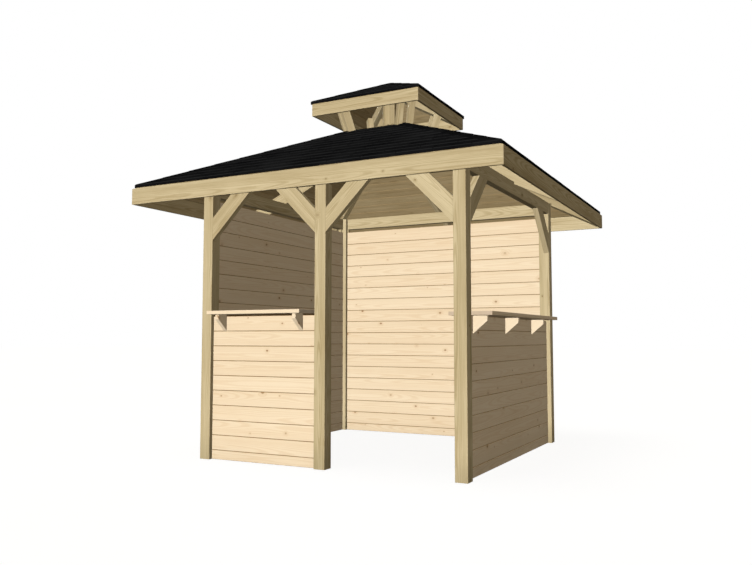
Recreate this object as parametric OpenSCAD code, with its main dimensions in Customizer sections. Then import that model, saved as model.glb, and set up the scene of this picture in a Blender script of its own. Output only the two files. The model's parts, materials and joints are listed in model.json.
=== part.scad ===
// Square timber garden gazebo for barbecues: five posts, boarded walls on two sides,
// half walls with shelves on the others, an open entrance bay, and a hipped roof
// with a raised vent lantern. Millimetres, +Z up, origin on the ground at the plan centre,
// front towards -Y.

/* [Frame] */
// Width and depth of the frame over the outer faces of the corner posts
frame_w = 2140; // [1900:10:2600]
// Height of the corner posts and of the tops of the beams
frame_h = 2098; // [1950:2:2400]
// Side of the square posts
post_w = 88; // [80:1:120]
// Distance of the middle front post to the left of the centre line
middle_post_shift = 20; // [0:5:100]
// Height of the beams
beam_h = 101; // [80:1:160]
// Thickness of the beams
beam_t = 55; // [45:1:80]

/* [Braces] */
// Length of a brace's lower edge along the post, and along the beam
brace_reach = 347; // [250:1:400]
// Width of a brace
brace_w = 120; // [80:1:150]
// Thickness of a brace
brace_t = 45; // [30:1:70]

/* [Walls] */
// Thickness of the tongue and groove boards
board_t = 19; // [15:1:28]
// Height of the front half wall under its shelf
front_wall_h = 1079; // [850:1:1200]
// Height of the right half wall under its shelf
right_wall_h = 1053; // [850:1:1200]
// Gap between the top of a full wall and the beam over it
wall_top_gap = 30; // [5:1:50]
// Depth of the grooves in the posts that hold the boards
groove_d = 15; // [8:1:20]
// Gap between a board and its groove
groove_gap = 0.3; // [0.2:0.1:0.8]

/* [Shelves] */
// Thickness of the shelves
shelf_t = 26; // [18:1:40]
// Width of the shelves
shelf_w = 300; // [250:5:350]
// Distance that the shelves reach past the outer faces of the posts
shelf_out = 140; // [120:5:180]
// Gap between the left front post and the front shelf
front_shelf_gap_left = 70; // [0:1:80]
// Gap between the front shelf and the middle post
front_shelf_gap_right = 36; // [0:1:80]
// Gap between the right shelf and the back right post
right_shelf_gap = 302; // [0:1:320]
// Distance from the left end of the front shelf to its first bracket's centre
front_bracket_inset_left = 38; // [20:1:120]
// Distance from the front shelf's second bracket's centre to its right end
front_bracket_inset_right = 94; // [20:1:120]
// Distance from the right shelf's front end to its first bracket's centre
right_bracket_inset_front = 132; // [20:1:200]
// Distance from the right shelf's last bracket's centre to its back end
right_bracket_inset_back = 151; // [20:1:200]
// Length of a bracket under the shelf
bracket_out = 100; // [80:1:130]
// Height of a bracket against the wall
bracket_h = 120; // [90:1:150]
// Height of a bracket's square nose
bracket_nose = 35; // [10:1:45]
// Thickness of a bracket
bracket_t = 30; // [20:1:40]

/* [Roof] */
// Slope of the main roof and the lantern roof in degrees
roof_pitch = 25.3; // [20:0.1:30]
// Distance of the fascia's outer face from the posts' outer faces
eave_out = 375; // [300:5:450]
// Thickness of the rafters
rafter_t = 45; // [35:1:60]
// Depth of the main rafters, square to the slope
rafter_d = 107; // [90:1:130]
// Height of the rafters' birdsmouth at the beam's outer face
seat_cut = 19; // [10:1:30]
// Thickness of the fascia boards
fascia_t = 20; // [15:1:28]
// Height of the main fascia
fascia_h = 118; // [100:1:160]
// Thickness of the roof boards
deck_t = 19; // [15:1:25]
// Thickness of the roof covering
covering_t = 6; // [4:1:10]
// Distance of the main covering's edge inside the fascia's outer face
covering_setback = 13; // [2:1:14]
// Half the width of the vent opening in the main roof
vent_half = 255; // [230:5:300]

/* [Lantern] */
// Height of the lantern's roof boards above those of the main roof
lantern_rise = 318; // [280:2:400]
// Distance of the lantern fascia's outer face from the centre
lantern_half = 472; // [440:2:560]
// Distance of the lantern covering's edge outside its fascia's outer face
lantern_overhang = 8; // [6:1:15]
// Height of the lantern fascia
lantern_fascia_h = 98; // [70:1:120]
// Depth of the lantern rafters, square to the slope
lantern_rafter_d = 80; // [60:1:90]
// Distance that each face of the octagonal king post is wider than a rafter
king_post_margin = 0.6; // [0.2:0.1:10]
// Distance that the king post hangs below the main rafters
king_post_drop = 25; // [5:1:120]
// Thickness of the lantern legs' planks
leg_t = 45; // [30:1:60]
// Width of the lantern legs' planks along the rafter
leg_w = 60; // [45:1:80]
// Distance of the legs from the centre, along each side of the plan
leg_r = 244; // [230:2:290]
// Distance of the legs' tops below the lantern's roof boards on the hip line
leg_top_gap = 30; // [25:1:45]
// Gap between the legs and the roof around them
leg_gap = 2; // [1:0.5:5]

/* [Hidden] */

// Sides of the square plan
SIDES = ["front", "right", "back", "left"];

timber = [0.80, 0.72, 0.54];
board_timber = [0.94, 0.84, 0.69];
felt = [0.10, 0.10, 0.11];

// Plan: half sizes, and the faces of the posts that the bays run between
half = frame_w / 2;
bay = half - post_w;
middle_post_left = -middle_post_shift - post_w / 2;
middle_post_right = -middle_post_shift + post_w / 2;
beam_under = frame_h - beam_h;

// Walls: the boards stand in the middle of the posts' thickness
full_wall_h = beam_under - wall_top_gap;
wall_face = half - (post_w - board_t) / 2;
board_in_groove = groove_d - groove_gap;

// Shelves: their ends along each wall, and the centres of their brackets
front_shelf_from = -bay + front_shelf_gap_left;
front_shelf_to = middle_post_left - front_shelf_gap_right;
front_bracket_centres = [
    front_shelf_from + front_bracket_inset_left,
    front_shelf_to - front_bracket_inset_right
];
right_shelf_from = -bay;
right_shelf_to = bay - right_shelf_gap;
right_bracket_first = right_shelf_from + right_bracket_inset_front;
right_bracket_last = right_shelf_to - right_bracket_inset_back;
right_bracket_centres = [
    right_bracket_first,
    (right_bracket_first + right_bracket_last) / 2,
    right_bracket_last
];

// Slope, as rise for each millimetre of run, and the hip's angle on the diagonal
rise = tan(roof_pitch);
hip_angle = atan(rise / sqrt(2));
rafter_v = rafter_d / cos(roof_pitch);
deck_v = deck_t / cos(roof_pitch);
covering_v = covering_t / cos(roof_pitch);
lantern_rafter_v = lantern_rafter_d / cos(roof_pitch);
eave = half + eave_out;
// Half the king post's width across its flats, so that each face takes one rafter
king_half = (rafter_t + king_post_margin) / (2 * tan(22.5));
deck_edge = eave - covering_setback - covering_t;
lantern_deck_edge = lantern_half + lantern_overhang - covering_t;

// Longer and taller than any part of the roof, for blanks that are cut to size
blank = 3 * eave;
sky = 2 * frame_h;

// Heights of the roof's sloping planes at a distance r from the centre
function rafter_under(r) = frame_h - seat_cut + rise * (half - r);
function deck_under(r) = rafter_under(r) + rafter_v;
function deck_top(r) = deck_under(r) + deck_v;
function covering_top(r) = deck_top(r) + covering_v;
// The hip line at a distance d from the centre, along the diagonal
function hip_top(d) = deck_under(d / sqrt(2));

// Turns a part made for the front to another side of the square plan
module on_side(side) {
    quarter_turns = search([side], SIDES)[0];
    rotate([0, 0, 90 * quarter_turns]) children();
}

// Extrudes a profile of (distance towards the front, height) to both sides of the centre line
module across_front(len) {
    rotate([90, 0, -90]) linear_extrude(height = len, center = true) children();
}

// Keeps the quarter of the plan that belongs to the front, up to both hip lines
module mitred() {
    intersection() {
        across_front(blank) children();
        linear_extrude(height = sky) polygon([[0, 0], [blank, -blank], [-blank, -blank]]);
    }
}

// A post standing with its corner at the origin
module post_blank(height) {
    cube([post_w, post_w, height]);
}

// The groove for boards in the face of a post towards one side
module post_groove(side, height) {
    groove_w = board_t + 2 * groove_gap;
    translate([post_w / 2, post_w / 2, 0])
        on_side(side)
            translate([-groove_w / 2, -post_w / 2 - groove_gap, -groove_gap])
                cube([groove_w, groove_d + groove_gap, height + groove_gap]);
}

// A corner post: x_side and y_side are -1 or 1
module corner_post(x_side, y_side) {
    translate([x_side > 0 ? bay : -half, y_side > 0 ? bay : -half, 0])
        difference() {
            post_blank(frame_h);
            children();
        }
}

module post_front_left() {
    color(timber) corner_post(-1, -1) {
        post_groove("back", beam_under);
        post_groove("right", front_wall_h);
    }
}

module post_front_right() {
    color(timber) corner_post(1, -1) post_groove("back", right_wall_h);
}

module post_back_left() {
    color(timber) corner_post(-1, 1) {
        post_groove("front", beam_under);
        post_groove("right", beam_under);
    }
}

module post_back_right() {
    color(timber) corner_post(1, 1) {
        post_groove("left", beam_under);
        post_groove("front", right_wall_h);
    }
}

module post_front_middle() {
    color(timber) translate([middle_post_left, -half, 0])
        difference() {
            post_blank(beam_under);
            post_groove("left", front_wall_h);
        }
}

// A beam between two corner posts, flush with their outer faces
module beam(side) {
    color(timber) on_side(side)
        translate([-bay, -half, beam_under]) cube([2 * bay, beam_t, beam_h]);
}

// A brace at a post's face x, with its foot on the post and its head towards x_side
module brace(side, x, x_side) {
    upper_reach = brace_reach - brace_w * sqrt(2);
    color(timber) on_side(side)
        translate([x, -half + brace_t, beam_under])
            mirror([x_side > 0 ? 0 : 1, 0, 0])
                rotate([90, 0, 0])
                    linear_extrude(height = brace_t)
                        polygon([
                            [0, -brace_reach], [brace_reach, 0],
                            [upper_reach, 0], [0, -upper_reach]
                        ]);
}

// A wall of boards between the post faces x_from and x_to, let into their grooves
module board_wall(side, x_from, x_to, height) {
    color(board_timber) on_side(side)
        translate([x_from - board_in_groove, -wall_face, 0])
            cube([x_to - x_from + 2 * board_in_groove, board_t, height]);
}

// A shelf on top of a half wall of the given height, from x_from to x_to along it
module shelf(side, x_from, x_to, height) {
    color(board_timber) on_side(side)
        translate([x_from, -half - shelf_out, height])
            cube([x_to - x_from, shelf_w, shelf_t]);
}

// The brackets under a shelf at the given height, on the wall's outer face
module shelf_brackets(side, centres, height) {
    color(board_timber) on_side(side)
        for (x = centres)
            translate([x, 0, height])
                across_front(bracket_t)
                    polygon([
                        [wall_face, 0], [wall_face, -bracket_h],
                        [wall_face + bracket_out, -bracket_nose],
                        [wall_face + bracket_out, 0]
                    ]);
}

// The octagonal post on the roof's axis that all rafters meet
module king_post() {
    foot = rafter_under(king_half) - king_post_drop;
    head = deck_under(king_half) + lantern_rise;
    color(timber) translate([0, 0, foot])
        rotate([0, 0, 22.5])
            cylinder(r = king_half / cos(22.5), h = head - foot, $fn = 8);
}

// Everything above the underside of one slope's roof boards
module above_deck(side, lift) {
    on_side(side) across_front(blank)
        polygon([
            [-blank, deck_under(-blank) + lift], [blank, deck_under(blank) + lift],
            [blank, deck_under(-blank) + lift]
        ]);
}

// One hip rafter at the front right corner: its back is bevelled to both slopes,
// and its tail to the two fascia boards that end at half_in from the centre
module hip_rafter(lift, half_in) {
    intersection() {
        difference() {
            rotate([0, 0, 45]) across_front(rafter_t) children();
            above_deck("front", lift);
            above_deck("right", lift);
        }
        translate([0, -half_in, 0]) cube([half_in, half_in, sky]);
    }
}

// The hip rafter's side: depth_v is its upright depth
module hip_profile(lift, depth_v) {
    polygon([
        [king_half, hip_top(king_half) + lift], [blank, hip_top(blank) + lift],
        [blank, hip_top(blank) + lift - depth_v],
        [king_half, hip_top(king_half) + lift - depth_v]
    ]);
}

// The space that the frame's top fills, up to its outer corner or face at reach
module seat(reach) {
    square([reach, frame_h]);
}

module hip_rafters() {
    color(timber) for (side = SIDES)
        on_side(side)
            hip_rafter(0, eave - fascia_t)
                difference() {
                    hip_profile(0, rafter_v);
                    seat(half * sqrt(2));
                }
}

module middle_rafters() {
    tail = eave - fascia_t;
    color(timber) for (side = SIDES)
        on_side(side) across_front(rafter_t)
            difference() {
                polygon([
                    [king_half, deck_under(king_half)], [tail, deck_under(tail)],
                    [tail, rafter_under(tail)], [king_half, rafter_under(king_half)]
                ]);
                seat(half);
            }
}

// A fascia board, mitred at both ends, with its top bevelled to the roof boards
module fascia(side, half_out, height, lift) {
    half_in = half_out - fascia_t;
    foot = deck_under(half_out) - height + lift;
    color(timber) on_side(side) mitred()
        polygon([
            [half_in, foot], [half_out, foot],
            [half_out, deck_under(half_out) + lift], [half_in, deck_under(half_in) + lift]
        ]);
}

// The side of the roof boards from the opening to their edge at the eaves
module deck_profile(inner, edge, lift) {
    polygon([
        [inner, deck_under(inner) + lift], [edge, deck_under(edge) + lift],
        [edge, deck_top(edge) + lift], [inner, deck_top(inner) + lift]
    ]);
}

// The side of the covering, which is turned down over the edge of the roof boards
module covering_profile(inner, edge, lift) {
    lip = edge + covering_t;
    polygon([
        [inner, deck_top(inner) + lift], [edge, deck_top(edge) + lift],
        [edge, deck_under(edge) + lift], [lip, deck_under(lip) + lift],
        [lip, covering_top(lip) + lift], [inner, covering_top(inner) + lift]
    ]);
}

// The side of a lantern leg, square to the hip: gap widens it, and inwards reaches to the centre
module leg_profile(gap, inwards) {
    d = leg_r * sqrt(2);
    below = rafter_v * cos(hip_angle);
    above = lantern_rise * cos(hip_angle) - leg_top_gap;
    translate([d, hip_top(d)]) rotate(-hip_angle)
        translate([-leg_w / 2 - inwards, -below])
            square([leg_w + inwards + gap, below + above]);
}

// The notches for two lantern legs at the upper corners of a slope
module leg_notches() {
    for (corner = [45, -45])
        rotate([0, 0, corner])
            across_front(rafter_t + 2 * (leg_t + leg_gap)) leg_profile(leg_gap, leg_r);
}

module roof_deck(side) {
    color(board_timber) on_side(side)
        difference() {
            mitred() deck_profile(vent_half, deck_edge, 0);
            leg_notches();
        }
}

module roof_covering(side) {
    color(felt) on_side(side)
        difference() {
            mitred() covering_profile(vent_half, deck_edge, 0);
            leg_notches();
        }
}

// Two planks at each corner, which hold the main and the lantern rafter between them
module lantern_legs() {
    color(timber) for (side = SIDES, face = [-1, 1])
        on_side(side) rotate([0, 0, 45])
            translate([face * (rafter_t + leg_t) / 2, 0, 0])
                across_front(leg_t) leg_profile(0, 0);
}

module lantern_rafters() {
    color(timber) for (side = SIDES)
        on_side(side)
            hip_rafter(lantern_rise, lantern_half - fascia_t)
                hip_profile(lantern_rise, lantern_rafter_v);
}

module lantern_deck(side) {
    color(board_timber) on_side(side) mitred()
        deck_profile(0, lantern_deck_edge, lantern_rise);
}

module lantern_covering(side) {
    color(felt) on_side(side) mitred()
        covering_profile(0, lantern_deck_edge, lantern_rise);
}

post_front_left();
post_front_middle();
post_front_right();
post_back_left();
post_back_right();
beam("front");  // beam_front
beam("right");  // beam_right
beam("back");  // beam_back
beam("left");  // beam_left
brace("front", -bay, 1);  // brace_front_left
brace("front", middle_post_left, -1);  // brace_middle_left
brace("front", middle_post_right, 1);  // brace_middle_right
brace("front", bay, -1);  // brace_front_right
brace("right", -bay, 1);  // brace_right_front
brace("right", bay, -1);  // brace_right_back
board_wall("left", -bay, bay, full_wall_h);  // wall_left
board_wall("back", -bay, bay, full_wall_h);  // wall_back
board_wall("front", -bay, middle_post_left, front_wall_h);  // half_wall_front
board_wall("right", -bay, bay, right_wall_h);  // half_wall_right
shelf("front", front_shelf_from, front_shelf_to, front_wall_h);  // shelf_front
shelf("right", right_shelf_from, right_shelf_to, right_wall_h);  // shelf_right
shelf_brackets("front", front_bracket_centres, front_wall_h);  // shelf_brackets_front
shelf_brackets("right", right_bracket_centres, right_wall_h);  // shelf_brackets_right
king_post();
hip_rafters();
middle_rafters();
fascia("front", eave, fascia_h, 0);  // fascia_front
fascia("right", eave, fascia_h, 0);  // fascia_right
fascia("back", eave, fascia_h, 0);  // fascia_back
fascia("left", eave, fascia_h, 0);  // fascia_left
roof_deck("front");  // roof_deck_front
roof_deck("right");  // roof_deck_right
roof_deck("back");  // roof_deck_back
roof_deck("left");  // roof_deck_left
roof_covering("front");  // roof_covering_front
roof_covering("right");  // roof_covering_right
roof_covering("back");  // roof_covering_back
roof_covering("left");  // roof_covering_left
lantern_legs();
lantern_rafters();
fascia("front", lantern_half, lantern_fascia_h, lantern_rise);  // lantern_fascia_front
fascia("right", lantern_half, lantern_fascia_h, lantern_rise);  // lantern_fascia_right
fascia("back", lantern_half, lantern_fascia_h, lantern_rise);  // lantern_fascia_back
fascia("left", lantern_half, lantern_fascia_h, lantern_rise);  // lantern_fascia_left
lantern_deck("front");  // lantern_deck_front
lantern_deck("right");  // lantern_deck_right
lantern_deck("back");  // lantern_deck_back
lantern_deck("left");  // lantern_deck_left
lantern_covering("front");  // lantern_covering_front
lantern_covering("right");  // lantern_covering_right
lantern_covering("back");  // lantern_covering_back
lantern_covering("left");  // lantern_covering_left
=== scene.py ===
"""The looks of a garden gazebo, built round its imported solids.

The timbers are the solids themselves with their edges eased. Walls and roofs are tongued boards,
and the roofs are covered in felt shingles with caps along the hips.
Lengths are in metres: x runs to the right, y to the back and z up.
"""

import json
import math
import random

import bmesh
import bpy
from mathutils import Euler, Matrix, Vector

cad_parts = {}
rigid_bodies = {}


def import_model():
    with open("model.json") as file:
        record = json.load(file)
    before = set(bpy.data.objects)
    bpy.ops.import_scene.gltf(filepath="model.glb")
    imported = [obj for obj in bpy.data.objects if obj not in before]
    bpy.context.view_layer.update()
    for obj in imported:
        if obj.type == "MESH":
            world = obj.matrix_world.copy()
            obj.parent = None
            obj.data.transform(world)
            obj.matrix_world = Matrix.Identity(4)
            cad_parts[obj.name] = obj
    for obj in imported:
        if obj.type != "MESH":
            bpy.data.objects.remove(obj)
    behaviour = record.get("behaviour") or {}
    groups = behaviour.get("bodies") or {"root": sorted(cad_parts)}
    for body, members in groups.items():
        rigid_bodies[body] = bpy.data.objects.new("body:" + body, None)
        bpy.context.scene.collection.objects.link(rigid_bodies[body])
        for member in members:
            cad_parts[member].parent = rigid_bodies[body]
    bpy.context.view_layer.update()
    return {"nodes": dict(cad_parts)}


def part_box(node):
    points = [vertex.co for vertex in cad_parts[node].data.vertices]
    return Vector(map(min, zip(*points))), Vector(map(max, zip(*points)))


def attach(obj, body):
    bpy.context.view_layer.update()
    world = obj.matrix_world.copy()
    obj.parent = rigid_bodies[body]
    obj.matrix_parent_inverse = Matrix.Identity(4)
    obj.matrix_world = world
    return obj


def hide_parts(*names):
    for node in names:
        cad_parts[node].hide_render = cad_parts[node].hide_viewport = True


for leftover in list(bpy.data.objects):
    bpy.data.objects.remove(leftover)
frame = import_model()

BODY = "root"
SEED = 11

# Camera, at the photograph's place: level with a person's chest, in front and to the right
CAMERA_PLACE = (2.7659, -5.5806, 0.9087)
CAMERA_PITCH = 0.0727
CAMERA_YAW = 0.4789
CAMERA_LENS = 36.19
CAMERA_SENSOR = 36.0

# Tongued boards of the walls and roofs
BOARD_COVER = 0.111
BOTTOM_BOARD = 0.070
LEAST_BOARD = 0.030
BOARD_GAP = 0.0010
V_JOINT = 0.0028
TONGUE_H = 0.010
TONGUE_T = 0.006
GROOVE_PLAY = 0.0004
BOARD_WAVER = 0.0003
# The wall whose top board is whole and keeps its tongue under the shelf
WHOLE_TOPPED_WALL = "half_wall_front"

# A board's seam values: on its faces, at the foot of its V-joints, and on its tongue and groove
ON_FACE, IN_JOINT, ON_TONGUE = 0.0, 1.0, 2.0

# Sawn timber
EASED_EDGE = 0.0020
EASED_STEPS = 2
SMOOTH_BELOW = math.radians(40)
FLAT_WITHIN = math.radians(1)
SAME_POINT = 1e-5

# How pieces lie in their logs: a plank is thinner than this share of its width, and off the heart
PLANK_RATIO = 0.6
PLANK_ASIDE = 0.03
PLANK_OFF_HEART = (0.04, 0.09)
POST_OFF_HEART = 0.05
LOG_RUN = 40
GRAIN_LEAN = 0.02

# Each piece's tone, and shifts that make pieces paler (below 0) or deeper. Most are the pieces' own tone,
# but the right fascias' deepening is painted shade on their shaded side, and the paleness of the back-left
# post, back fascia and middle rafters is painted light in the shade under the roof
TONE_RANGE = (0.25, 0.75)
TONE_AND_SHADE_SHIFT = {
    "post_front_left": -0.3, "post_front_middle": -0.3, "post_front_right": -0.3,
    "post_back_left": -0.7, "post_back_right": -0.3, "brace_front_right": -0.4,
    "fascia_front": 0.2, "fascia_right": 0.8, "fascia_back": -0.6, "lantern_fascia_right": 0.7,
    "middle_rafters": -0.3, "hip_rafters": 0.6, "king_post": 0.6,
    "shelf_front": -1.0, "shelf_right": 0.5, "shelf_brackets_front": -1.0, "shelf_brackets_right": -1.5,
}

# Roofs: the four sides in the order of the quarter turns that lead to them
SIDES = ("front", "right", "back", "left")
ROOF_PITCH = math.radians(25.3)
PITCH_COS, PITCH_SIN = math.cos(ROOF_PITCH), math.sin(ROOF_PITCH)

# Felt shingles: their exposed courses and tabs, and the underlay turned down over the eave
COURSE = 0.111
COURSE_LAP = 0.018
LEAST_COURSE = COURSE / 3
TAB_W = 0.250
LEAST_TAB = 0.012
TAB_SLOT = 0.006
TAB_BUTT = 0.0052
TAB_HEAD = 0.0020
TAB_BED = 0.0008
TAB_WAVER = 0.0008
UNDERLAY_T = 0.0015
UNDERLAY_TONE, LIP_TONE = 0.2, 0.3
LIP_TRIM = 0.003

# Felt caps folded over the hips
CAP_WING = 0.085
CAP_STEP = 0.150
LEAST_CAP = CAP_STEP / 3
CAP_LAP = 0.030
CAP_BUTT = 0.0074
CAP_HEAD = 0.0052
CAP_T = 0.0030


def linear(red, green, blue):
    """A colour of 0 to 255 channels, as the numbers that a shader takes."""
    def channel(value):
        value /= 255
        return value / 12.92 if value <= 0.04045 else ((value + 0.055) / 1.055) ** 2.4
    return (channel(red), channel(green), channel(blue), 1.0)


# Colours of the timber, the boards and the felt
TIMBER_PALE = linear(214, 196, 156)
TIMBER_DEEP = linear(160, 138, 94)
TIMBER_KNOT = linear(112, 80, 46)
BOARD_PALE = linear(243, 222, 189)
BOARD_DEEP = linear(220, 187, 143)
BOARD_KNOT = linear(150, 106, 62)
ROOF_BOARD_PALE = linear(214, 191, 146)
ROOF_BOARD_DEEP = linear(160, 134, 90)
DAMP = linear(128, 116, 84)
# Dark colour in the V-joints: partly dirt, partly painted shade in the joints' recess
JOINT_DIRT_AND_SHADE = linear(156, 118, 66)
# Painted shade on the tongues and grooves, which show in the recess under the front shelf
TONGUE_SHADE = linear(60, 42, 20)
END_GRAIN = (0.74, 0.74, 0.79, 1.0)
FELT_DARK = linear(10, 10, 11)
FELT_PALE = linear(33, 33, 33)
# Painted highlight: the felt's butt edges and eave lip are paler, as if they caught the light
FELT_EDGE_HIGHLIGHT = linear(38, 38, 38)

# Knots: cells longer along the grain, some of them bare, with a knot and a ring of bent grain round it.
# Rims run from nothing to full, in the knot's own radius
KNOT_STRETCH = 0.7
KNOT_SIZES = (0.25, 1.0)
KNOT_LEAST_RADIUS = 0.0001
KNOT_RIM = (1.0, 0.55)
KNOT_STRENGTHS = (0.15, 1.0)
HALO_RIM = (3.2, 0.9)

# Growth rings: a wave texture turns through 20 radians for each unit of its scale
WAVE_RATE = 20
RING_WANDER = 0.045
RING_WANDER_STRETCH = (0.9, 5.0, 5.0)
RING_BEND = 0.010
RING_DISTORTION = 0.6
RING_DETAIL = 2.0
LATE_WOOD = (0.30, 1.0)

# Wood: the stretch of its noises, the strength of its marks, and its relief and gloss
FIBRE_STRETCH = (5.0, 330.0, 330.0)
STREAK_STRETCH = (0.8, 26.0, 26.0)
PATCH_STRETCH = (1.7, 1.7, 1.7)
HALO_DEPTH = 0.35
KNOT_DEPTH = 0.85
SPLASH_HEIGHT = 0.22
JOINT_DIRT_AND_SHADE_FADE = (ON_FACE, ON_FACE + 0.2)
TONGUE_SHADE_FADE = (IN_JOINT, IN_JOINT + 0.5)
FIBRE_RELIEF, RING_RELIEF, KNOT_RELIEF = 0.6, 0.3, 0.5
WOOD_RELIEF = 0.0010
WOOD_ROUGHNESS = (0.62, 0.82)
WOOD_GLOSS = 0.02

# Felt: its grit and dust, what each adds to its light, and its relief and gloss
GRIT_STRETCH = (900.0, 900.0, 900.0)
GRIT_FADE = (0.42, 0.80)
DUST_STRETCH = (3.0, 3.0, 3.0)
DUST_FADE = (0.40, 0.75)
GRIT_LIGHT, TAB_LIGHT, DUST_LIGHT = 0.6, 0.25, 0.6
FELT_EDGE_HIGHLIGHT_FADE = (0.96, 1.0)
FELT_RELIEF = 0.0012
FELT_ROUGHNESS = (0.85, 0.98)

# Floor and light: the shaded sides are lit a little warmer than the front
OPAQUE_WHITE = (1.0, 1.0, 1.0, 1.0)
WHITE = (1.0, 1.0, 1.0)
WARM = (1.0, 0.95, 0.87)
FLOOR_REACH = 60.0
FLOOR_COLOUR = linear(236, 235, 232)
FLOOR_PALE = linear(240, 239, 237)
FLOOR_STRETCH = (0.4, 0.4, 0.4)
FLOOR_GLOW = 0.515
WORLD_LIGHT = 0.01


class Nodes:
    """A node tree, with short names for the steps that repeat."""

    def __init__(self, tree):
        self.tree = tree

    def add(self, kind, inputs=None, **settings):
        node = self.tree.nodes.new(kind)
        for key, value in settings.items():
            setattr(node, key, value)
        for key, value in (inputs or {}).items():
            self.feed(value, node.inputs[key])
        return node

    def feed(self, value, socket):
        if isinstance(value, bpy.types.NodeSocket):
            self.tree.links.new(value, socket)
        else:
            socket.default_value = value

    def attribute(self, name, output):
        return self.add("ShaderNodeAttribute", attribute_name=name).outputs[output]

    def place(self):
        return self.add("ShaderNodeTexCoord").outputs["Object"]

    def math(self, operation, first, second=0.0, clamp=False):
        node = self.add("ShaderNodeMath", {0: first, 1: second}, operation=operation)
        node.use_clamp = clamp
        return node.outputs[0]

    def vector(self, operation, first, second):
        return self.add("ShaderNodeVectorMath", {0: first, 1: second}, operation=operation).outputs[0]

    def split(self, vector):
        return self.add("ShaderNodeSeparateXYZ", {0: vector}).outputs

    def join(self, x, y, z):
        return self.add("ShaderNodeCombineXYZ", {0: x, 1: y, 2: z}).outputs[0]

    def fade(self, value, start, end):
        """0 at start and 1 at end, eased in between. Start may be the larger."""
        node = self.add("ShaderNodeMapRange", {"Value": value, "From Min": start, "From Max": end})
        node.interpolation_type = "SMOOTHSTEP"
        return node.outputs["Result"]

    def spread(self, value, low, high):
        """A value of 0 to 1, spread over low to high."""
        node = self.add("ShaderNodeMapRange", {"Value": value, "To Min": low, "To Max": high})
        return node.outputs["Result"]

    def noise(self, vector, stretch, detail=2.0, roughness=0.5):
        scaled = self.vector("MULTIPLY", vector, stretch)
        inputs = {"Vector": scaled, "Scale": 1.0, "Detail": detail, "Roughness": roughness}
        return self.add("ShaderNodeTexNoise", inputs).outputs["Fac"]

    def mix(self, factor, first, second, blend="MIX"):
        inputs = {0: factor, 6: first, 7: second}
        return self.add("ShaderNodeMix", inputs, data_type="RGBA", blend_type=blend).outputs[2]


class Shader(Nodes):
    """One material's nodes and its surface."""

    def __init__(self, name):
        self.material = bpy.data.materials.new(name)
        self.material.use_nodes = True
        super().__init__(self.material.node_tree)
        self.surface = self.tree.nodes["Principled BSDF"]

    def bump(self, height, distance):
        node = self.add("ShaderNodeBump", {"Height": height, "Distance": distance, "Strength": 1.0})
        self.feed(node.outputs["Normal"], self.surface.inputs["Normal"])

    def finish(self, colour, roughness, gloss):
        self.feed(colour, self.surface.inputs["Base Color"])
        self.feed(roughness, self.surface.inputs["Roughness"])
        self.surface.inputs["Specular IOR Level"].default_value = gloss
        return self.material


def knot_masks(shader, grain, per_metre, biggest):
    """Where a knot is, and the wider ring round it in which the grain bends."""
    along, across, deep = shader.split(grain)
    stretched = shader.math("MULTIPLY", along, KNOT_STRETCH)
    flat = shader.join(stretched, shader.math("ADD", across, deep), 0.0)
    inputs = {"Vector": flat, "Scale": per_metre}
    cells = shader.add("ShaderNodeTexVoronoi", inputs, voronoi_dimensions="2D")
    distance = shader.math("DIVIDE", cells.outputs["Distance"], per_metre)
    size, strength, _ = shader.split(cells.outputs["Color"])
    radius = shader.math("MULTIPLY", shader.fade(size, *KNOT_SIZES), biggest)
    reach = shader.math("DIVIDE", distance, shader.math("ADD", radius, KNOT_LEAST_RADIUS))
    strength = shader.spread(strength, *KNOT_STRENGTHS)
    knot = shader.math("MULTIPLY", shader.fade(reach, *KNOT_RIM), strength)
    return knot, shader.fade(reach, *HALO_RIM)


def growth_rings(shader, grain, halo, ring_gap):
    """Growth rings round the heart of the log, which wander along it and bend round the knots."""
    wander = shader.noise(grain, RING_WANDER_STRETCH)
    shift = shader.math("MULTIPLY", shader.math("SUBTRACT", wander, 0.5), RING_WANDER)
    bend = shader.math("ADD", shift, shader.math("MULTIPLY", halo, RING_BEND))
    bent = shader.vector("ADD", grain, shader.join(0.0, bend, bend))
    inputs = {"Vector": bent, "Scale": math.tau / (WAVE_RATE * ring_gap),
              "Distortion": RING_DISTORTION, "Detail": RING_DETAIL}
    wave = shader.add("ShaderNodeTexWave", inputs, wave_type="RINGS", rings_direction="X")
    return shader.fade(wave.outputs["Fac"], *LATE_WOOD)


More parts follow.
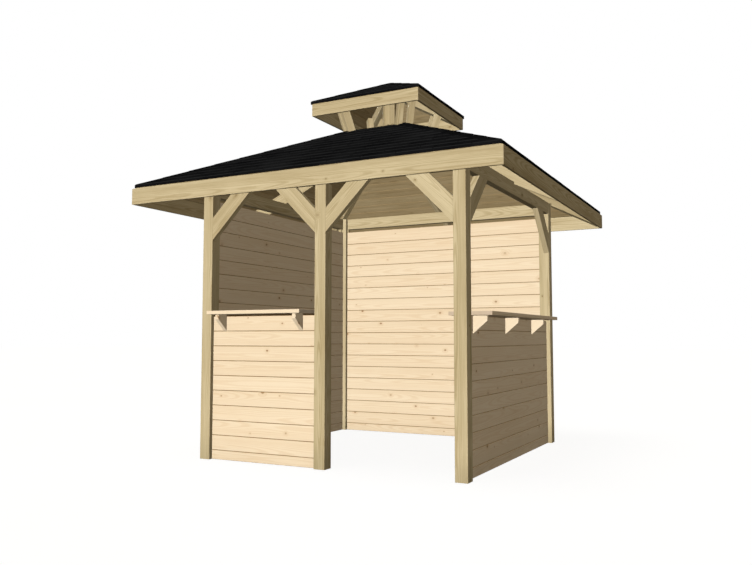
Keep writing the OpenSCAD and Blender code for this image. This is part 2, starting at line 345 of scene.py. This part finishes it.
def wood(name, pale, deep, knot_colour, ring_gap, knots_per_metre, biggest_knot, joint_dirt_and_shade_depth, damp,
         depth, weights):
    """Sawn softwood: rings, fibres and knots that follow each piece's own grain.

    The figure runs from pale to deep, starts at depth, and is moved by each layer with its weight.
    """
    shader = Shader(name)
    grain = shader.attribute("grain", "Vector")
    knot, halo = knot_masks(shader, grain, knots_per_metre, biggest_knot)
    layers = {
        "rings": growth_rings(shader, grain, halo, ring_gap),
        "fibres": shader.noise(grain, FIBRE_STRETCH, detail=3.0, roughness=0.6),
        "streaks": shader.noise(grain, STREAK_STRETCH, detail=3.0),
        "patches": shader.noise(shader.place(), PATCH_STRETCH),
        "tone": shader.attribute("tone", "Fac"),
    }
    figure = depth
    for layer, value in layers.items():
        centred = shader.math("SUBTRACT", value, 0.5)
        figure = shader.math("ADD", figure, shader.math("MULTIPLY", centred, weights[layer]))
    figure = shader.math("ADD", figure, 0.0, clamp=True)

    colour = shader.mix(figure, pale, deep)
    colour = shader.mix(shader.math("MULTIPLY", halo, HALO_DEPTH), colour, deep)
    colour = shader.mix(shader.math("MULTIPLY", knot, KNOT_DEPTH), colour, knot_colour)
    splashed = shader.fade(shader.split(shader.place())[2], SPLASH_HEIGHT, 0.0)
    splash = shader.math("MULTIPLY", splashed, shader.spread(layers["patches"], 0.0, damp))
    colour = shader.mix(splash, colour, DAMP)

    colour = shader.mix(shader.attribute("end", "Fac"), colour, END_GRAIN, blend="MULTIPLY")
    seam = shader.attribute("seam", "Fac")
    # Painted shade, with some dirt: the V-joints are darkened towards their foot
    joint_dirt_and_shade = shader.math("MULTIPLY", shader.fade(seam, *JOINT_DIRT_AND_SHADE_FADE), joint_dirt_and_shade_depth)
    colour = shader.mix(joint_dirt_and_shade, colour, JOINT_DIRT_AND_SHADE)
    # Painted shade: tongues and grooves are painted dark where the recess under the front shelf shows them
    colour = shader.mix(shader.fade(seam, *TONGUE_SHADE_FADE), colour, TONGUE_SHADE)

    fibre_relief = shader.math("MULTIPLY", layers["fibres"], FIBRE_RELIEF)
    relief = shader.math("ADD", fibre_relief, shader.math("MULTIPLY", layers["rings"], RING_RELIEF))
    relief = shader.math("SUBTRACT", relief, shader.math("MULTIPLY", knot, KNOT_RELIEF))
    shader.bump(relief, WOOD_RELIEF)
    return shader.finish(colour, shader.spread(figure, *WOOD_ROUGHNESS), WOOD_GLOSS)


def felt(name):
    """Mineral felt: near-black, gritty, each tab a little different, with dusty patches, and a painted
    highlight that makes the tabs' butt edges and the eave lip paler.
    """
    shader = Shader(name)
    place = shader.place()
    grit = shader.noise(place, GRIT_STRETCH, roughness=0.7)
    dust = shader.noise(place, DUST_STRETCH, detail=4.0, roughness=0.6)
    grit_light = shader.math("MULTIPLY", shader.fade(grit, *GRIT_FADE), GRIT_LIGHT)
    tab_light = shader.math("MULTIPLY", shader.attribute("tone", "Fac"), TAB_LIGHT)
    dust_light = shader.math("MULTIPLY", shader.fade(dust, *DUST_FADE), DUST_LIGHT)
    light = shader.math("ADD", shader.math("ADD", grit_light, tab_light), dust_light, clamp=True)
    colour = shader.mix(light, FELT_DARK, FELT_PALE)
    # Painted highlight along the butt edges and the lip's top, where seam is 1
    edge = shader.fade(shader.attribute("seam", "Fac"), *FELT_EDGE_HIGHLIGHT_FADE)
    colour = shader.mix(edge, colour, FELT_EDGE_HIGHLIGHT)
    shader.bump(grit, FELT_RELIEF)
    return shader.finish(colour, shader.spread(dust, *FELT_ROUGHNESS), gloss=0.0)


MATERIALS = {
    "frame_timber": wood(
        "frame_timber_wood", TIMBER_PALE, TIMBER_DEEP, TIMBER_KNOT,
        ring_gap=0.0045, knots_per_metre=3.4, biggest_knot=0.012, joint_dirt_and_shade_depth=0.0, damp=0.6, depth=0.45,
        weights={"rings": 0.30, "fibres": 0.90, "streaks": 0.85, "patches": 0.45, "tone": 0.35}),
    "wall_boards": wood(
        "wall_boards_wood", BOARD_PALE, BOARD_DEEP, BOARD_KNOT,
        ring_gap=0.0055, knots_per_metre=5.2, biggest_knot=0.012, joint_dirt_and_shade_depth=0.78, damp=0.15, depth=0.25,
        weights={"rings": 0.26, "fibres": 0.55, "streaks": 0.50, "patches": 0.16, "tone": 0.15}),
    "roof_boards": wood(
        "roof_boards_wood", ROOF_BOARD_PALE, ROOF_BOARD_DEEP, BOARD_KNOT,
        ring_gap=0.0055, knots_per_metre=4.0, biggest_knot=0.008, joint_dirt_and_shade_depth=0.35, damp=0.0, depth=0.45,
        weights={"rings": 0.26, "fibres": 0.80, "streaks": 0.70, "patches": 0.60, "tone": 0.30}),
    "roof_felt": felt("roof_felt_mineral"),
}
chance = random.Random(SEED)


def heart_of_log(thin):
    """Where a piece's own centre lies in its log: off the heart for a plank, near it for a post."""
    along = chance.uniform(-LOG_RUN, LOG_RUN)
    if thin:
        aside = chance.uniform(-PLANK_ASIDE, PLANK_ASIDE)
        return Vector((along, aside, chance.choice((-1, 1)) * chance.uniform(*PLANK_OFF_HEART)))
    aside = chance.uniform(-POST_OFF_HEART, POST_OFF_HEART)
    return Vector((along, aside, chance.uniform(-POST_OFF_HEART, POST_OFF_HEART)))


def publish(name, mesh, slot, nodes):
    """Puts a finished mesh in the scene as a piece that stands for the given solids."""
    mesh.materials.clear()
    mesh.materials.append(MATERIALS[slot])
    mesh.shade_smooth()
    mesh.set_sharp_from_angle(angle=SMOOTH_BELOW)
    piece = bpy.data.objects.new(name, mesh)
    bpy.context.collection.objects.link(piece)
    flat = piece.modifiers.new("flat_faces", "WEIGHTED_NORMAL")
    flat.keep_sharp = True
    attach(piece, BODY)
    if nodes:
        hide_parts(*nodes)


def store(mesh, grain, tone, seam, end):
    """Keeps each vertex's place in its grain, its tone, its seam and its end grain, for the materials."""
    mesh.attributes.new("grain", "FLOAT_VECTOR", "POINT").data.foreach_set(
        "vector", [number for point in grain for number in point])
    for name, values in (("tone", tone), ("seam", seam), ("end", end)):
        mesh.attributes.new(name, "FLOAT", "POINT").data.foreach_set("value", values)


class Prisms:
    """Closed prisms gathered into one mesh."""

    def __init__(self):
        self.points, self.faces, self.grain, self.tone, self.seam = [], [], [], [], []

    def add(self, start, end, grain_start, grain_end, tone, seam):
        """A prism between two outlines of as many points each, with a seam value for each point."""
        first, count = len(self.points), len(start)
        self.points += [*start, *end]
        self.grain += [*grain_start, *grain_end]
        self.tone += [tone] * (2 * count)
        self.seam += [*seam, *seam]
        self.faces.append([first + step for step in range(count)])
        self.faces.append([first + count + step for step in reversed(range(count))])
        for step in range(count):
            after = (step + 1) % count
            self.faces.append([first + step, first + count + step, first + count + after, first + after])

    def publish(self, name, slot, nodes=()):
        mesh = bpy.data.meshes.new(name)
        mesh.from_pydata(self.points, [], self.faces)
        store(mesh, self.grain, self.tone, self.seam, [0.0] * len(self.points))
        work = bmesh.new()
        work.from_mesh(mesh)
        bmesh.ops.dissolve_degenerate(work, dist=SAME_POINT, edges=work.edges)
        bmesh.ops.recalc_face_normals(work, faces=work.faces)
        work.to_mesh(mesh)
        work.free()
        publish(name, mesh, slot, nodes)


def islands(work):
    """The separate solids in a mesh, each as a list of vertices."""
    left = set(work.verts)
    while left:
        found, queue = [], [min(left, key=lambda vertex: vertex.index)]
        left.discard(queue[0])
        while queue:
            vertex = queue.pop()
            found.append(vertex)
            for edge in vertex.link_edges:
                other = edge.other_vert(vertex)
                if other in left:
                    left.discard(other)
                    queue.append(other)
        yield found


def grain_axes(vertices):
    """Along the longest edge of a solid, then across and through it."""
    edges = dict.fromkeys(edge for vertex in vertices for edge in vertex.link_edges)
    runs = sorted((edge.verts[1].co - edge.verts[0].co for edge in edges), key=lambda run: -run.length)
    along = runs[0].normalized()
    nearly_square = 0.2
    wide = [run for run in runs if abs(run.normalized().dot(along)) < nearly_square]
    across = wide[0] - along * wide[0].dot(along) if wide else along.orthogonal()
    across.normalize()
    return along, across, along.cross(across)


def span(vertices, axis):
    """How far a solid reaches along an axis."""
    reaches = [vertex.co.dot(axis) for vertex in vertices]
    return max(reaches) - min(reaches)


def timber(node, slot):
    """A solid of the frame or a shelf with its edges eased and the grain along its length."""
    work = bmesh.new()
    work.from_mesh(frame["nodes"][node].data)
    bmesh.ops.remove_doubles(work, verts=work.verts, dist=SAME_POINT)
    bmesh.ops.dissolve_limit(work, angle_limit=FLAT_WITHIN, verts=work.verts, edges=work.edges)
    bmesh.ops.bevel(work, geom=list(work.edges), offset=EASED_EDGE, segments=EASED_STEPS,
                    profile=0.5, affect="EDGES", clamp_overlap=True)
    work.verts.index_update()
    count = len(work.verts)
    grain, tone, end = [None] * count, [0.0] * count, [0.0] * count
    for vertices in islands(work):
        axes = grain_axes(vertices)
        centre = sum((vertex.co for vertex in vertices), Vector()) / len(vertices)
        length, width, thickness = [span(vertices, axis) for axis in axes]
        heart = heart_of_log(thin=thickness < PLANK_RATIO * width)
        lean = chance.uniform(-GRAIN_LEAN, GRAIN_LEAN)
        shade = chance.uniform(*TONE_RANGE) + TONE_AND_SHADE_SHIFT.get(node, 0.0)
        for vertex in vertices:
            local = Vector([(vertex.co - centre).dot(axis) for axis in axes])
            end[vertex.index] = float(abs(abs(local.x) - length / 2) < EASED_EDGE / 10)
            local.z += lean * local.x
            grain[vertex.index] = local + heart
            tone[vertex.index] = shade
    mesh = bpy.data.meshes.new(node + "_timber")
    work.to_mesh(mesh)
    work.free()
    store(mesh, grain, tone, [ON_FACE] * count, end)
    publish(node + "_timber", mesh, slot, [node])


def tongued_outline(low, high, thick, groove, tongue):
    """The section of a tongued board with V-joints on both faces, as (across, deep) points."""
    middle, half = thick / 2, TONGUE_T / 2
    high -= BOARD_GAP
    outline = [(low + V_JOINT, 0.0), (low, V_JOINT)]
    if groove:
        wide, depth = half + GROOVE_PLAY, TONGUE_H + GROOVE_PLAY
        outline += [(low, middle - wide), (low + depth, middle - wide)]
        outline += [(low + depth, middle + wide), (low, middle + wide)]
    outline += [(low, thick - V_JOINT), (low + V_JOINT, thick)]
    outline += [(high - V_JOINT, thick), (high, thick - V_JOINT)]
    if tongue:
        outline += [(high, middle + half), (high + TONGUE_H, middle + half)]
        outline += [(high + TONGUE_H, middle - half), (high, middle - half)]
    return outline + [(high, V_JOINT), (high - V_JOINT, 0.0)]


def seams(outline, thick):
    """The seam value of each point of a tongued board's section."""
    past_joint = 1.1 * V_JOINT
    marks = []
    for _, deep in outline:
        inward = min(deep, thick - deep)
        if inward == 0.0:
            marks.append(ON_FACE)
        else:
            marks.append(IN_JOINT if inward < past_joint else ON_TONGUE)
    return marks


def board_edges(low, high, first):
    """Joints between boards from low to high: the first has its own width, and the last is cut to fit."""
    edges = [low, low + first]
    while edges[-1] + BOARD_COVER < high - LEAST_BOARD:
        edges.append(edges[-1] + BOARD_COVER)
    return edges + [high]


def board_wall(node):
    """A wall of level tongued boards, whose top one is cut flush unless it is whole."""
    low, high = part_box(node)
    along = 0 if high.x - low.x > high.y - low.y else 1
    through = 1 - along
    thick = (high - low)[through]
    boards = Prisms()
    head = TONGUE_H if node == WHOLE_TOPPED_WALL else 0.0
    edges = board_edges(low.z, high.z - head, BOTTOM_BOARD)
    for index, (bottom, top) in enumerate(zip(edges, edges[1:])):
        outline = tongued_outline(bottom, top, thick, groove=index > 0, tongue=top < high.z)
        waver = chance.uniform(-BOARD_WAVER, BOARD_WAVER)
        heart = heart_of_log(thin=True)
        lean = chance.uniform(-GRAIN_LEAN, GRAIN_LEAN)

        def end(run):
            places, grain = [], []
            for up, deep in outline:
                place = Vector((0, 0, up))
                place[along] = run
                place[through] = low[through] + deep + waver
                places.append(place)
                grain.append(heart + Vector((run, up - (bottom + top) / 2, deep + lean * run)))
            return places, grain

        (start, grain_start), (finish, grain_finish) = end(low[along]), end(high[along])
        boards.add(start, finish, grain_start, grain_finish, chance.random(), seams(outline, thick))
    boards.publish(node + "_boards", "wall_boards", [node])


class Slope:
    """One side of a roof: places on it from x along the eave, s up the slope and d above its underside."""

    def __init__(self, node, side):
        self.turns = SIDES.index(side)
        low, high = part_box(node)
        self.edge, self.inner = {"front": (-low.y, -high.y), "right": (high.x, low.x),
                                 "back": (high.y, low.y), "left": (-low.x, -high.x)}[side]
        self.low = low.z
        self.rise = high.z - low.z
        self.length = (self.edge - self.inner) / PITCH_COS

    def thickness(self):
        """The slab's thickness, from what its box rises beyond its slope."""
        return (self.rise - self.length * PITCH_SIN) * PITCH_COS

    def reach(self, s):
        """How far from the roof's axis a point s up the slope lies."""
        return self.edge - s * PITCH_COS

    def at(self, x, s, d):
        """Plumb above the slope, so that board edges stand upright as the solids' edges do."""
        y = -self.reach(s)
        for _ in range(self.turns):
            x, y = -y, x
        return Vector((x, y, self.low + s * PITCH_SIN + d / PITCH_COS))

    def mitred(self, prisms, outline, tone, heart, seam):
        """A prism of an (s, d) outline across the whole slope, cut at both hips."""
        ends = []
        for sign in (-1, 1):
            places = [self.at(sign * max(self.reach(s), 0.0), s, d) for s, d in outline]
            grain = [heart + Vector((sign * self.reach(s), s, d)) for s, d in outline]
            ends.append((places, grain))
        prisms.add(ends[0][0], ends[1][0], ends[0][1], ends[1][1], tone, seam)


def deck_slope(roof, side):
    return Slope(f"{roof}_deck_{side}", side)


def roof_boards(roof, side):
    """Tongued boards across one slope, seen from below."""
    node = f"{roof}_deck_{side}"
    slope = deck_slope(roof, side)
    thick = slope.thickness()
    boards = Prisms()
    edges = board_edges(0.0, slope.length, BOARD_COVER)
    for index, (bottom, top) in enumerate(zip(edges, edges[1:])):
        outline = tongued_outline(bottom, top, thick, groove=index > 0, tongue=top < slope.length)
        heart = heart_of_log(thin=True) - Vector((0, (bottom + top) / 2, 0))
        slope.mitred(boards, outline, chance.random(), heart, seams(outline, thick))
    boards.publish(node + "_boards", "roof_boards", [node])


def add_underlay(felts, deck, cover):
    """The sheet under the tabs, with its lip turned down over the eave. Gives where the sheet starts."""
    overhang = (deck.edge - cover.edge) / PITCH_COS
    bed = deck.thickness()
    face = bed + UNDERLAY_T
    still = Vector((0, 0, 0))
    sheet = [(overhang, bed), (deck.length, bed), (deck.length, face), (overhang, face)]
    deck.mitred(felts, sheet, UNDERLAY_TONE, still, [0.0] * len(sheet))
    drop = (cover.low - deck.low) * PITCH_COS - overhang * PITCH_SIN * PITCH_COS
    drop += LIP_TRIM
    lip = [(overhang, drop), (0.0, drop), (0.0, face), (overhang, face)]
    # The lip's top points carry seam 1, which the felt paints paler as a painted highlight
    deck.mitred(felts, lip, LIP_TONE, still, (0.0, 0.0, 1.0, 1.0))
    return overhang


def shingles(roof, side):
    """A slope's felt: an underlay turned down over the eave, and courses of tabs lapped up the slope."""
    node = f"{roof}_covering_{side}"
    deck = deck_slope(roof, side)
    felts = Prisms()
    start = add_underlay(felts, deck, Slope(node, side))
    course = 0
    while start < deck.length - LEAST_COURSE:
        head = min(start + COURSE + COURSE_LAP, deck.length)
        reach = deck.reach(start)
        left = -math.ceil(reach / TAB_W) * TAB_W - (TAB_W / 2 if course % 2 else 0)
        while left < reach:
            add_tab(felts, deck, left, left + TAB_W - TAB_SLOT, start, head)
            left += TAB_W
        start += COURSE
        course += 1
    felts.publish(node + "_felt", "roof_felt", [node])


def add_tab(felts, deck, left, right, start, head):
    """One shingle tab, thick at its lower edge, cut off where it meets a hip."""
    low_reach, high_reach = deck.reach(start), max(deck.reach(head), 0.0)
    if min(right, low_reach) - max(left, -low_reach) < LEAST_TAB:
        return
    butt = TAB_BUTT + chance.uniform(-TAB_WAVER, TAB_WAVER)
    start += chance.uniform(0, TAB_WAVER)
    top = deck.thickness()
    section = [(start, TAB_BED, low_reach), (start, butt, low_reach),
               (head, TAB_HEAD, high_reach), (head, TAB_BED, high_reach)]

    def end(x):
        return [deck.at(max(-reach, min(reach, x)), s, top + d) for s, d, reach in section]

    still = [(0.0, 0.0, 0.0)] * len(section)
    # Seam 1 marks the butt edge, which the felt paints paler as a painted highlight
    felts.add(end(left), end(right), still, still, chance.random(), (1.0, 1.0, 0.0, 0.0))


def hip_caps(roof):
    """Felt caps folded over the four hips, each lapped by the next one up."""
    caps = Prisms()
    for side, next_side in zip(SIDES, SIDES[1:] + SIDES[:1]):
        deck, beside = deck_slope(roof, side), deck_slope(roof, next_side)
        run = 0.0
        while run < deck.length - LEAST_CAP:
            head = min(run + CAP_STEP + CAP_LAP, deck.length)
            tone = chance.random()
            butt_end = cap_outline(deck, beside, run, CAP_BUTT)
            head_end = cap_outline(deck, beside, head, CAP_HEAD)
            still = [(0.0, 0.0, 0.0)] * len(butt_end)
            caps.add(butt_end, head_end, still, still, tone, [0.0] * len(still))
            run += CAP_STEP
    caps.publish(f"{roof}_hip_caps", "roof_felt")


def cap_outline(deck, beside, s, d):
    """A folded cap's section at s up the slope, with its upper face d above the boards."""
    reach = max(deck.reach(s), 0.0)
    wing = min(CAP_WING, reach)
    top = deck.thickness()
    rows = []
    for height in (top + d - CAP_T, top + d):
        rows.append([deck.at(reach - wing, s, height), deck.at(reach, s, height),
                     beside.at(-reach + wing, s, height)])
    return rows[0] + rows[1][::-1]


def build_gazebo():
    """Gives every solid its material, and builds the pieces that stand for the solids."""
    slots = {name: item.data.materials[0].name.split(".")[0] for name, item in frame["nodes"].items()}
    for name in sorted(slots):
        frame["nodes"][name].material_slots[0].material = MATERIALS[slots[name]]
        if "wall_" in name:
            board_wall(name)
        elif slots[name] in ("frame_timber", "wall_boards"):
            timber(name, slots[name])
    for roof in ("roof", "lantern"):
        for side in SIDES:
            roof_boards(roof, side)
            shingles(roof, side)
        hip_caps(roof)


def lamp(name, power, spread, azimuth, elevation, wash=False, colour=WHITE):
    """A lamp as far away as the sun: azimuth 0 stands in front, positive ones to the right.

    A wash lights all that faces it evenly, without shadows or bounced light.
    """
    light = bpy.data.lights.new(name, "SUN")
    light.energy = power
    light.color = colour
    light.angle = math.radians(spread)
    if wash:
        light.use_shadow = False
        light.cycles.max_bounces = 0
    item = bpy.data.objects.new(name, light)
    item.rotation_euler = Euler((math.radians(90 - elevation), 0, math.radians(azimuth)))
    bpy.context.collection.objects.link(item)


def make_lamps():
    lamp("key", power=0.20, spread=30, azimuth=-30, elevation=75)
    lamp("front_wash", power=3.34, spread=2, azimuth=0, elevation=3, wash=True)
    lamp("side_wash", power=0.63, spread=2, azimuth=90, elevation=-15, wash=True, colour=WARM)
    lamp("back_wash", power=2.4, spread=2, azimuth=-135, elevation=10, wash=True)
    lamp("top_wash", power=1.0, spread=2, azimuth=0, elevation=90, wash=True)


def seen_directly(nodes):
    """1 for rays from the camera, and for those by way of metal or glass."""
    path = nodes.add("ShaderNodeLightPath").outputs
    seen = nodes.math("MAXIMUM", path["Is Camera Ray"], path["Is Glossy Ray"])
    return nodes.math("MAXIMUM", seen, path["Is Transmission Ray"])


def make_floor():
    """A pale floor that shows white where it is lit and keeps the object's shadow."""
    mesh = bpy.data.meshes.new("floor")
    corners = [(x * FLOOR_REACH, y * FLOOR_REACH, 0) for x, y in ((-1, -1), (1, -1), (1, 1), (-1, 1))]
    mesh.from_pydata(corners, [], [(0, 1, 2, 3)])
    floor = bpy.data.objects.new("floor", mesh)
    bpy.context.collection.objects.link(floor)
    shader = Shader("floor_pale")
    colour = shader.mix(shader.noise(shader.place(), FLOOR_STRETCH), FLOOR_COLOUR, FLOOR_PALE)
    shader.surface.inputs["Emission Color"].default_value = OPAQUE_WHITE
    glow = shader.math("MULTIPLY", seen_directly(shader), FLOOR_GLOW)
    shader.feed(glow, shader.surface.inputs["Emission Strength"])
    mesh.materials.append(shader.finish(colour, roughness=1.0, gloss=0.0))


def make_world():
    """White where the camera sees it, and a dim even light on the object."""
    world = bpy.data.worlds.new("studio")
    bpy.context.scene.world = world
    world.use_nodes = True
    nodes = Nodes(world.node_tree)
    background = nodes.tree.nodes["Background"]
    background.inputs["Color"].default_value = OPAQUE_WHITE
    nodes.feed(nodes.spread(seen_directly(nodes), WORLD_LIGHT, 1.0), background.inputs["Strength"])


def make_camera():
    camera = bpy.data.cameras.new("camera")
    camera.sensor_fit = "HORIZONTAL"
    camera.sensor_width = CAMERA_SENSOR
    camera.lens = CAMERA_LENS
    item = bpy.data.objects.new("camera", camera)
    item.location = CAMERA_PLACE
    item.rotation_euler = (math.pi / 2 + CAMERA_PITCH, 0, CAMERA_YAW)
    bpy.context.collection.objects.link(item)
    bpy.context.scene.camera = item


build_gazebo()
make_floor()
make_world()
make_lamps()
make_camera()
bpy.context.scene.view_settings.view_transform = "Standard"
